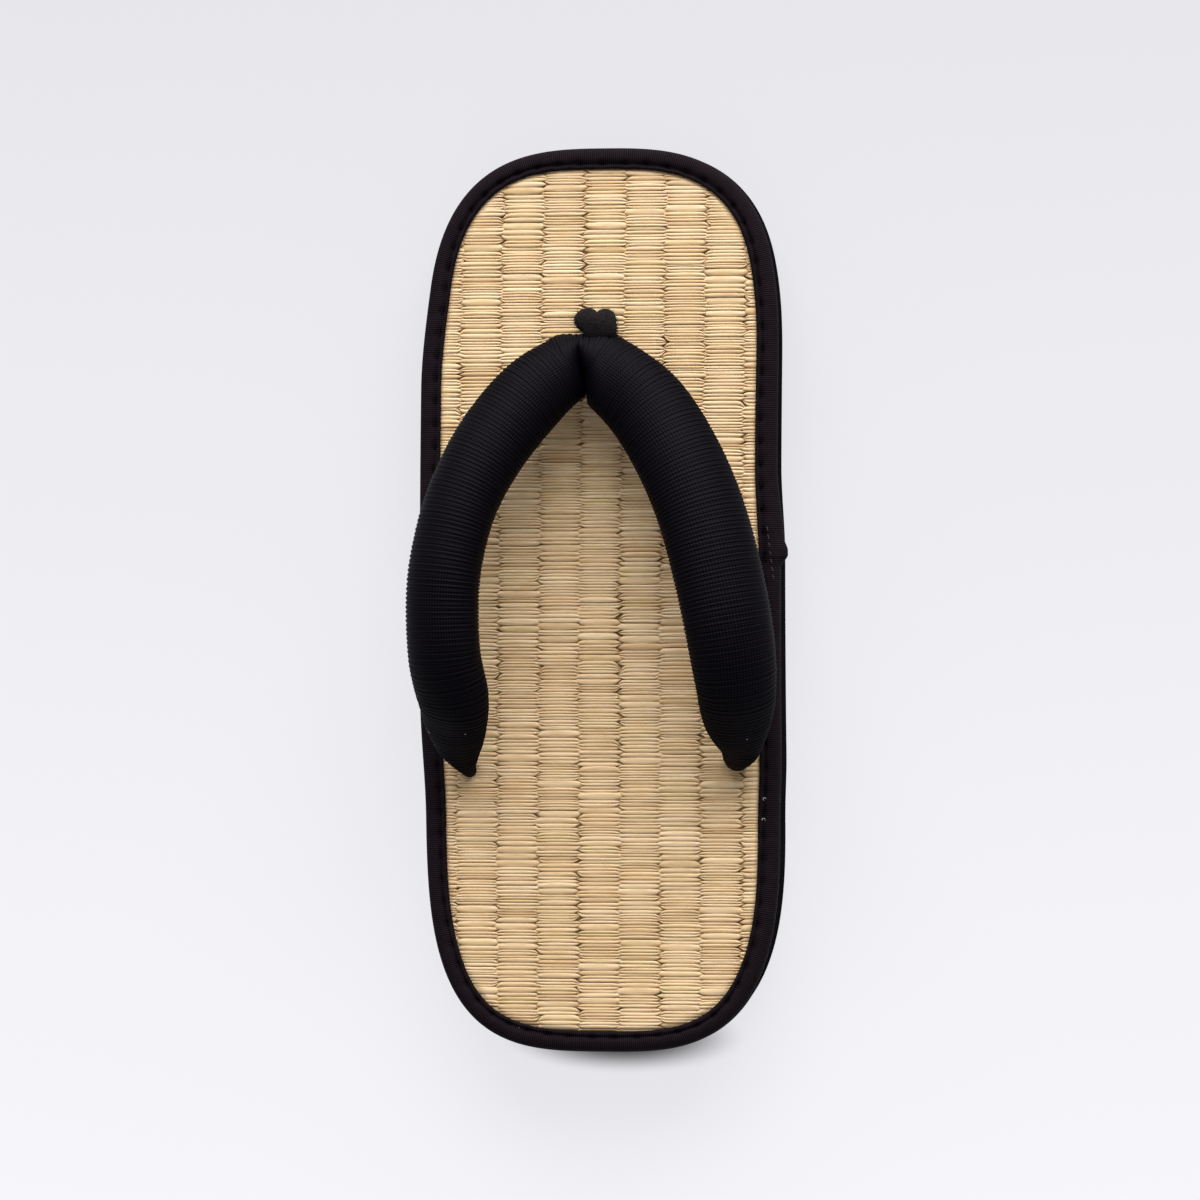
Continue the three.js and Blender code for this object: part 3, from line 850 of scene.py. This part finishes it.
def joint_swelling(x, y):
    """How far the overlapped joint stands out, steep at its back and long at its front."""
    to_joint = np.where(x > 0, y, 999.0)
    swell = 0.54 * smoothstep(JOINT_FRONT, JOINT_BACK + 7.5, to_joint)
    swell += 0.46 * smoothstep(JOINT_BACK + 8.5, JOINT_BACK + 5, to_joint)
    return swell * JOINT_SWELL * smoothstep(JOINT_BACK, JOINT_BACK + 3.8, to_joint)


def bound_edge():
    total, start = tape_run()
    run = np.linspace(0, total, TAPE_RINGS, endpoint=False)
    section = np.array(TAPE_SECTION)
    swell = joint_swelling(*outline(0.0, TAPE_RINGS, start))
    phase = (run / STITCH_PITCH) % 1.0
    pit = pulse(np.minimum(phase, 1 - phase) * STITCH_PITCH, PIT_LENGTH)
    wander = stitch_wander(run)
    rings = []
    for inset, z, share in section:
        on_top = z > TAPE_TOP
        row = on_top * pulse(inset - STITCH_INSET, 0.62)
        lip = on_top * pulse(inset - 5.6, 0.7)
        belly = on_top * pulse(inset - 3.4, 1.3)
        drawn = 0.22 * pit * on_top * pulse(inset - 4.2, 0.5)
        in_at = inset + wander * (row + 0.5 * lip) - drawn
        height = z - PIT_DEPTH * pit * row + (1 - pit) * (0.10 * belly + 0.06 * lip)
        lift = 0.16 * swell * on_top * pulse(inset - 1.6, 1.6)
        x, y = outline(in_at - swell * share, TAPE_RINGS, start)
        rings.append(np.stack((x, y, height + lift), -1))
    faces = [(a, d, c, b) for a, b, c, d in ring_faces(len(section), TAPE_RINGS, closed=True)]
    points = on_footbed(np.reshape(rings, (-1, 3)))
    piece = smooth_piece("edge_tape", points, faces, ribbed_tape(), sharp=70)
    girth = np.concatenate(([0], np.cumsum(np.hypot(*np.diff(section[:, :2], axis=0).T))))
    whole_ribs = round(total / RIB_PITCH) * RIB_PITCH / total
    set_run(piece.data, run * whole_ribs, girth[:, None], 1.0)
    return piece


def twisted_thread(name, dark, light, roughness, specular, twist_depth):
    tree, place, shader, material = new_material(name)
    twist = put(tree, "Group", {"Place": place}, node_tree=THREAD_TWIST)
    feed(tree, shader, {
        "Base Color": blend(tree, twist, dark, light),
        "Normal": bumps(tree, twist, twist_depth, 0.0001),
        "Roughness": roughness,
        "Specular IOR Level": specular,
    })
    return material


def short_stitches(name, spans, radius, dip, material):
    """Short threads that lie between pairs of points and dip at both ends."""
    t = np.linspace(-1, 1, STITCH_STATIONS)[:, None]
    turn = np.linspace(0, 2 * np.pi, STITCH_SIDES, endpoint=False)
    size = radius * np.sqrt(np.clip(1 - t ** 8, 0.02, 1))
    rings = []
    for first, last in np.asarray(spans):
        heading = (last - first) / np.linalg.norm(last - first)
        across = np.array((-heading[1], heading[0], 0))
        middle = first + (last - first) * (t + 1) / 2
        ring = middle[:, None] + across * (size * np.cos(turn))[..., None]
        ring[..., 2] += size * np.sin(turn) - dip * t ** 4
        rings.append(ring)
    return tube_piece(name, rings, material)


def edge_stitches():
    total, start = tape_run()

    def end(at):
        x, y = outline(STITCH_INSET + stitch_wander(at), 4, start + at)
        return x[0], y[0], STITCH_HEIGHT

    begins = np.arange(int(total / STITCH_PITCH)) * STITCH_PITCH
    spans = [(end(at + STITCH_GAP), end(at + STITCH_PITCH - STITCH_GAP)) for at in begins]
    black = twisted_thread(
        "sewing_thread", (0.0018, 0.0014, 0.0018, 1), (0.0085, 0.0065, 0.0080, 1), 0.8, 0.08, 0.5
    )
    return short_stitches("edge_stitches", spans, STITCH_RADIUS, STITCH_DIP, black)


def joint_seam():
    """Brown overcasting that closes the tape's joint, wandering off the stitched row."""
    first, last = JOINT_SEAM
    step = (last - first) / JOINT_STITCHES
    begins = [first + k * step for k in range(JOINT_STITCHES)]
    spans = [(begin, begin + 0.72 * step + (0.25, 0, 0)) for begin in begins]
    brown = twisted_thread(
        "brown_thread", (0.014, 0.008, 0.009, 1), (0.026, 0.015, 0.017, 1), 0.7, 0.5, 0.0
    )
    return short_stitches("joint_seam", spans, JOINT_THREAD_RADIUS, JOINT_STITCH_DIP, brown)


def white_fluff():
    tree, place, shader, material = new_material("white_fluff")
    fibre = noise(tree, place, 3000.0, 2.0)
    colour = blend(tree, fibre, (0.30, 0.29, 0.30, 1), (0.62, 0.60, 0.60, 1))
    feed(tree, shader, {"Base Color": colour, "Roughness": 0.8})
    return material


WHITE_FLUFF = white_fluff()


def loose_thread(name, track, radius):
    """A thin thread along a track of points, pinched at both ends."""
    heading = unit(np.gradient(track, axis=0))
    across = unit(np.cross(heading, (0.0, 0.0, 1.0)))
    upward = np.cross(heading, across)
    turn = np.linspace(0, 2 * np.pi, FLUFF_SIDES, endpoint=False)[:, None]
    size = radius * np.sqrt(np.sin(np.linspace(0.15, np.pi - 0.15, len(track))))
    around = across[:, None] * np.cos(turn) + upward[:, None] * np.sin(turn)
    return tube_piece(name, track[:, None] + around * size[:, None, None], WHITE_FLUFF)


def lint_tuft(name, x, y):
    """A short curled wisp caught in the stitched row."""
    turn = np.linspace(0, 4.2, 16)
    curl = (x + 0.45 * np.cos(turn), y + 0.55 * np.sin(turn) + 0.12 * turn, 0.55 + 0.1 * turn)
    return loose_thread(name, np.stack(curl, -1), LINT_RADIUS)


lint = [lint_tuft(f"lint_{k + 1}", *spot) for k, spot in enumerate(LINT_SPOTS)]
for edge_piece in (bound_edge(), edge_stitches(), joint_seam(), *lint):
    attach(edge_piece, "root")
    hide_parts("edge_binding")

# The strap is one padded tube of ribbed cloth, folded in the middle where the toe loop holds it.
# Its two arms are pinched together at the fold, arch over the foot and dive into the mat.
STRAP_RIB = 1.22
RING_STEP = STRAP_RIB / 4
RIB_DEPTH = 0.46
RIB_SEED = 5
ARM_SIDES = 48
ARM_RADIUS = 9.5
SEAM_WIDTH = 0.10
SEAM_DEPTH = 0.45
TANGENT_STEP = 0.01
FOLD_DIP = 0.14
CREASE_X = -4.5
CREASE_SHIFT = 1.5
CREASE_SOFT = 0.35
CREASE_DEPTH = 6.5
CREASE_WIDTH = 0.95
CREASE_PUFF = 0.7
# stretches along the shoe, and one up from the mat, where the pinch and its crease fade
PINCH_START = (51, 58)
CREASE_SHIFTING = (75, 59)
CREASE_END = (66.5, 76.0)
PUFF_END = (68, 77)
PINCH_RISE = (7, 13)
# middle of each section, its width and thickness, and its outward lean in degrees
LEFT_ARM = (
    (-8.5, 67.8, 10.6, 19.2, 17.0, 0),
    (-18.4, 59.4, 15.0, 22.1, 17.6, 6),
    (-28.9, 45.7, 20.4, 22.6, 18.0, 14),
    (-36.4, 31.0, 24.8, 21.8, 18.0, 20),
    (-40.4, 17.2, 27.8, 21.7, 18.0, 22),
    (-42.4, 2.6, 29.3, 21.8, 18.0, 22),
    (-42.2, -15.2, 28.0, 21.6, 17.6, 20),
    (-40.4, -27.8, 22.8, 21.2, 15.6, 14),
    (-40.5, -36.4, 15.6, 18.2, 11.4, 8),
    (-40.2, -43.4, 8.2, 12.8, 7.6, 4),
    (-38.9, -49.2, 1.4, 5.0, 4.4, 0),
    (-38.1, -51.0, -5.0, 4.0, 3.4, 0),
)
RIGHT_ARM = (
    (1.2, 67.9, 10.6, 21.1, 17.0, 0),
    (14.2, 57.0, 15.2, 24.0, 17.6, 6),
    (23.8, 43.1, 20.4, 25.0, 18.0, 14),
    (31.5, 26.4, 24.8, 25.6, 18.0, 20),
    (37.0, 7.6, 28.0, 26.0, 18.0, 22),
    (40.5, -9.6, 28.6, 25.6, 18.0, 22),
    (42.0, -24.0, 24.6, 23.4, 16.4, 18),
    (41.9, -34.2, 17.6, 20.0, 12.6, 10),
    (41.8, -42.2, 9.8, 13.0, 8.2, 4),
    (40.2, -46.4, 2.6, 8.0, 5.2, 0),
    (39.5, -48.8, -5.0, 5.4, 3.8, 0),
)


def along_table(rows, at):
    """Smooth values between the rows of a table, at places from 0 to 1."""
    rows = np.array(rows, float)
    last = len(rows) - 1
    place = np.clip(at, 0, 1) * last
    i = np.minimum(place.astype(int), last - 1)
    t = (place - i)[:, None]
    before, low, high, after = (rows[np.clip(i + k, 0, last)] for k in (-1, 0, 1, 2))
    eased = t * t * (3 - 2 * t)
    leave, arrive = (high - before) / 2, (after - low) / 2
    return low + (high - low) * eased + leave * t * (1 - t) ** 2 - arrive * t * t * (1 - t)


def heading_along(rows, at):
    """Which way a table's middles run, at places from 0 to 1."""
    ahead = along_table(rows, np.minimum(at + TANGENT_STEP, 1))
    return unit((ahead - along_table(rows, np.maximum(at - TANGENT_STEP, 0)))[:, :3])


def arm_sections(table, outer_side):
    """Sections of one arm from the fold to the tail, evenly spaced along it."""
    fine = np.linspace(0, 1, 4000)
    track = along_table(table, fine)[:, :3]
    run = np.concatenate(([0], np.cumsum(np.linalg.norm(np.diff(track, axis=0), axis=1))))
    at = np.interp(np.arange(0, run[-1], RING_STEP), run, fine)
    rows = along_table(table, at)
    heading = heading_along(table, at)
    across = unit(np.stack((heading[:, 1], -heading[:, 0], np.zeros(len(at))), -1))
    return {
        "middle": rows[:, :3],
        "outward": across * outer_side,
        "upward": np.cross(across, heading),
        "wide": rows[:, 3] / 2,
        "thick": rows[:, 4] / 2,
        "lean": np.radians(rows[:, 5]),
    }


def fold_sections(left, right):
    """Sections that fan round the inner corner of the fold, from one arm to the other."""
    ends = [(arm["middle"][0], arm["outward"][0], arm["wide"][0]) for arm in (left, right)]
    corners = [middle - outward * wide for middle, outward, wide in ends]
    angles = [math.atan2(outward[1], outward[0]) for _, outward, _ in ends]
    count = round(abs(angles[1] - angles[0]) * (ends[0][2] + ends[1][2]) / 2 / RING_STEP)
    share = np.linspace(0, 1, count + 2)[1:-1]
    angle = angles[0] + (angles[1] - angles[0]) * share
    outward = np.stack((np.cos(angle), np.sin(angle), np.zeros(count)), -1)
    wide = ends[0][2] + (ends[1][2] - ends[0][2]) * share
    wide = wide * (1 - FOLD_DIP * np.sin(np.pi * share) ** 2)
    corner = corners[0] + (corners[1] - corners[0]) * share[:, None]
    return {
        "middle": corner + outward * wide[:, None],
        "outward": outward,
        "upward": np.repeat([[0.0, 0.0, 1.0]], count, 0),
        "wide": wide,
        "thick": np.full(count, left["thick"][0]),
        "lean": np.zeros(count),
    }


def strap_sections():
    """The whole tube from the left tail over the fold to the right tail."""
    left, right = arm_sections(LEFT_ARM, 1), arm_sections(RIGHT_ARM, -1)
    fold = fold_sections(left, right)
    tube = {key: np.concatenate((left[key][::-1], fold[key], right[key])) for key in left}
    count = len(tube["wide"])
    left_half = len(left["wide"]) + len(fold["wide"]) // 2
    tube["half"] = np.where(np.arange(count) < left_half, -1.0, 1.0)
    tube["run"] = np.arange(count) * RING_STEP
    tube["from_tail"] = np.minimum(tube["run"], tube["run"][-1] - tube["run"])
    return tube


def pinch(ring, half):
    """Press the two halves flat against each other inside the fold, and sink the crease."""
    x, y, z = np.moveaxis(ring, -1, 0)
    crease = CREASE_X + CREASE_SHIFT * smoothstep(*CREASE_SHIFTING, y) + 0.2 * np.sin((y - 60) / 2.9)
    gate = smoothstep(*PINCH_START, y)
    over = half[:, None] * (crease - x) / CREASE_SOFT
    pressed = half[:, None] * CREASE_SOFT * np.log1p(np.exp(np.clip(over, -40, 40)))
    x = x + gate * pressed
    from_crease = np.abs(x - crease)
    on_top = smoothstep(*PINCH_RISE, z) * gate
    depth = CREASE_DEPTH * (1 - smoothstep(*CREASE_END, y))
    z = z - on_top * depth * np.exp(-from_crease / CREASE_WIDTH)
    z = z + on_top * CREASE_PUFF * pulse(from_crease - 4.0, 2.6) * (1 - smoothstep(*PUFF_END, y))
    return np.stack((x, y, z), -1)


def ribbed_strap_cloth():
    tree, place, shader, material = new_material("ribbed_strap_cloth")
    weave, depth = woven_cloth(tree, STRAP_RIB, 0.72, 0.7)
    cloud = noise(tree, place, 180.0, 5.0)
    cloth = blend(tree, cloud, (0.0008, 0.0006, 0.0015, 1), (0.0017, 0.0013, 0.0028, 1))
    # painted shade: the grooves between the ribs darken to near black, most on the arm's sides
    fall = {"Value": weave["Rib"], "From Max": 0.85, "To Min": 1.0, "To Max": 0.0}
    painted_groove_shade = maths(tree, "MULTIPLY", put(tree, "MapRange", fall), depth)
    cloth = blend(tree, painted_groove_shade, cloth, (0.0002, 0.0001, 0.0002, 1))
    # painted highlight: the raised crossings of the fine threads are coloured lighter
    painted_thread_highlight = put(tree, "MapRange", {"Value": weave["Hatch"], "From Min": 0.25})
    cloth = blend(tree, painted_thread_highlight, cloth, (0.0110, 0.0088, 0.0145, 1))
    feed(tree, shader, {
        "Base Color": with_lint(tree, place, cloth, 380.0, 0.006, (0.30, 0.30, 0.30, 1)),
        "Normal": bumps(tree, weave["Hatch"], 0.6, 0.00014),
        "Roughness": 0.52,
        "Specular IOR Level": 0.033,
    })
    return material


def padded_strap():
    """The strap, its rings of points and how far along the tube each ring lies."""
    tube = strap_sections()
    run = tube["run"]
    angle = np.linspace(0, 2 * np.pi, ARM_SIDES, endpoint=False)
    rng = random.Random(RIB_SEED)
    rib_strength = np.array([rng.uniform(0.75, 1.2) for _ in range(int(run[-1] / STRAP_RIB) + 2)])
    ribbing = np.abs(np.sin(np.pi * run / STRAP_RIB)) ** 0.6 - 0.6
    ribbing = rib_strength[(run / STRAP_RIB).astype(int)] * ribbing
    in_fold = smoothstep(70, 76, tube["middle"][:, 1] + tube["wide"] * tube["outward"][:, 1])
    fade = smoothstep(3, 10, tube["from_tail"]) * (1 - 0.5 * in_fold)
    seam = pulse(np.angle(np.exp(1j * (angle + 0.5 * np.pi))), SEAM_WIDTH)
    on_side = 0.4 + 0.6 * np.abs(np.cos(angle)) ** 1.3
    swell = RIB_DEPTH * ribbing[:, None] * on_side * (1 - 0.8 * seam) - SEAM_DEPTH * seam
    swell = swell * fade[:, None]
    side = (tube["wide"][:, None] + swell) * np.cos(angle)
    rise = (tube["thick"][:, None] + swell) * np.sin(angle)
    lean_cos, lean_sin = np.cos(tube["lean"])[:, None], np.sin(tube["lean"])[:, None]
    out = (side * lean_cos + rise * lean_sin)[..., None]
    up = (rise * lean_cos - side * lean_sin)[..., None]
    ring = tube["middle"][:, None] + tube["outward"][:, None] * out + tube["upward"][:, None] * up
    ring = pinch(ring, tube["half"])
    piece = tube_piece("padded_strap", ring, ribbed_strap_cloth())
    set_run(piece.data, run[:, None], ARM_RADIUS * (angle - np.pi / 2), on_side)
    return piece, ring, run


strap, strap_rings, strap_run = padded_strap()

THREAD_RADIUS = 0.06
THREAD_FROM_TAIL = 25.5
THREAD_TURNS = (0.22, 0.72)
THREAD_STANDS_OFF = 1.012


def thread_on_strap():
    """A pale thread caught across the outer side of the left arm, close to its tail."""
    ring = strap_rings[np.argmin(np.abs(strap_run - THREAD_FROM_TAIL))]
    place = np.linspace(*THREAD_TURNS, 14) * ARM_SIDES / (2 * np.pi)
    low = place.astype(int)
    share = (place - low)[:, None]
    track = ring[low] * (1 - share) + ring[low + 1] * share
    track = ring.mean(0) + (track - ring.mean(0)) * THREAD_STANDS_OFF
    track[:, 1] += 0.35 * np.sin(np.linspace(0, 5, len(track)))
    return loose_thread("white_thread", track, THREAD_RADIUS)


for strap_piece in (strap, thread_on_strap()):
    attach(strap_piece, "root")
    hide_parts("strap")

# The toe loop is a band of dark felt. It comes up out of the toe hole, is pulled tight into two
# rolls with a crease between them, and is wrapped over the front of the strap's fold.
LOOP_RINGS = 170
LOOP_SIDES = 96
# middle across and along the section, and half sizes, as shares of half its width and thickness
LOOP_ROLLS = ((-0.37, 0.0, 0.64, 1.0), (0.42, -0.01, 0.52, 0.96))
CREASE_CUT = 0.12
CREASE_TURN = 1.50
CREASE_SPREAD = 0.10
FELT_GRAIN = 0.07
FELT_LUMPS = 0.16
FUZZ_SEED = 3
FIBRES = 1800
FIBRE_RADII = 0.028 * np.array((1.0, 0.8, 0.3))
FIBRE_LENGTHS = (0.35, 1.0)
FIBRE_ROOT = 0.1
FIBRE_LEAN = 0.6
# middle of each section, its width and its thickness
LOOP = (
    (-0.9, 80.2, -5.2, 6.0, 5.0),
    (-0.9, 80.6, -1.0, 7.6, 5.6),
    (-0.7, 81.4, 3.6, 11.0, 6.6),
    (-0.3, 81.5, 8.2, 12.4, 6.8),
    (0.6, 80.4, 11.8, 11.4, 6.0),
    (1.6, 78.6, 13.6, 9.8, 4.4),
    (2.0, 76.8, 14.2, 8.6, 2.8),
    (2.0, 75.0, 13.6, 7.0, 1.4),
)


def dark_felt():
    tree, place, shader, material = new_material("dark_felt")
    fuzz = noise(tree, place, 2600.0, 4.0)
    lumps = noise(tree, place, 900.0, 4.0, Distortion=0.8)
    feed(tree, shader, {
        "Base Color": blend(tree, lumps, (0.0005, 0.0004, 0.0004, 1), (0.0096, 0.0070, 0.0080, 1)),
        "Normal": bumps(tree, maths(tree, "ADD", fuzz, lumps), 1.0, 0.0004),
        "Roughness": 0.95,
        "Specular IOR Level": 0.05,
        "Sheen Weight": 0.03,
        "Sheen Roughness": 0.6,
    })
    return material


def roll_outline(turn):
    """Reach of the two rolls together from the middle of the section, as shares of its halves."""
    along_x, along_y = np.cos(turn), np.sin(turn)
    reach = np.zeros_like(turn)
    for mid_x, mid_y, half_x, half_y in LOOP_ROLLS:
        a = (along_x / half_x) ** 2 + (along_y / half_y) ** 2
        b = -2 * (along_x * mid_x / half_x ** 2 + along_y * mid_y / half_y ** 2)
        c = (mid_x / half_x) ** 2 + (mid_y / half_y) ** 2 - 1
        inside = b * b - 4 * a * c
        far = np.where(inside > 0, (-b + np.sqrt(np.maximum(inside, 0))) / (2 * a), 0)
        reach = np.maximum(reach, far)
    reach *= 1 - CREASE_CUT * pulse(turn - CREASE_TURN, CREASE_SPREAD)
    return reach * along_x, reach * along_y


def felt_rings():
    at = np.linspace(0, 1, LOOP_RINGS)
    rows = along_table(LOOP, at)
    heading = heading_along(LOOP, at)
    front = unit(np.stack((np.zeros(LOOP_RINGS), heading[:, 2], -heading[:, 1]), -1))
    turn = np.linspace(0, 2 * np.pi, LOOP_SIDES, endpoint=False)
    shape_x, shape_y = roll_outline(turn)
    rng = np.random.default_rng(FUZZ_SEED)
    fuzz = rng.normal(0, FELT_GRAIN, (LOOP_RINGS, LOOP_SIDES))
    fuzz += FELT_LUMPS * np.sin(at * 19 + 2)[:, None] * np.cos(3 * turn + 1)
    forward = rows[:, 4:5] / 2 * shape_y + fuzz * np.sin(turn)
    ring = rows[:, None, :3] + front[:, None] * forward[..., None]
    ring[..., 0] += rows[:, 3:4] / 2 * shape_x + fuzz * np.cos(turn)
    return ring


def fibre_rings(ring):
    """Short fibres that stand out of the felt all over, bent at random."""
    rng = np.random.default_rng(FUZZ_SEED)
    row = rng.integers(20, LOOP_RINGS - 25, FIBRES)
    col = rng.integers(0, LOOP_SIDES, FIBRES)
    root = ring[row, col]
    out = unit(root - ring[row].mean(1))
    lean = rng.normal(0, 0.9, (FIBRES, 3))
    length = rng.uniform(*FIBRE_LENGTHS, (FIBRES, 1, 1))
    share = np.array((0.0, 0.5, 1.0))[:, None]
    bent = out[:, None] * share + lean[:, None] * share ** 2 * FIBRE_LEAN
    spine = (root - FIBRE_ROOT * out)[:, None] + bent * length
    turn = np.linspace(0, 2 * np.pi, 3, endpoint=False)
    around = np.stack((np.cos(turn), np.sin(turn), np.cos(turn + 1)), -1)
    rings = spine[:, :, None] + around * FIBRE_RADII[:, None, None]
    facing = np.cross(around[1] - around[0], around[2] - around[0])
    inside_out = (spine[:, -1] - spine[:, 0]) @ facing < 0
    rings[inside_out] = rings[inside_out][:, :, ::-1]
    return rings


felt = dark_felt()
loop_rings = felt_rings()
loop = tube_piece("felt_loop", loop_rings, felt)
fuzz = tube_piece("felt_fuzz", fibre_rings(loop_rings), felt, sharp=0)
for loop_piece in (loop, fuzz):
    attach(loop_piece, "root")
    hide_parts("toe_loop")
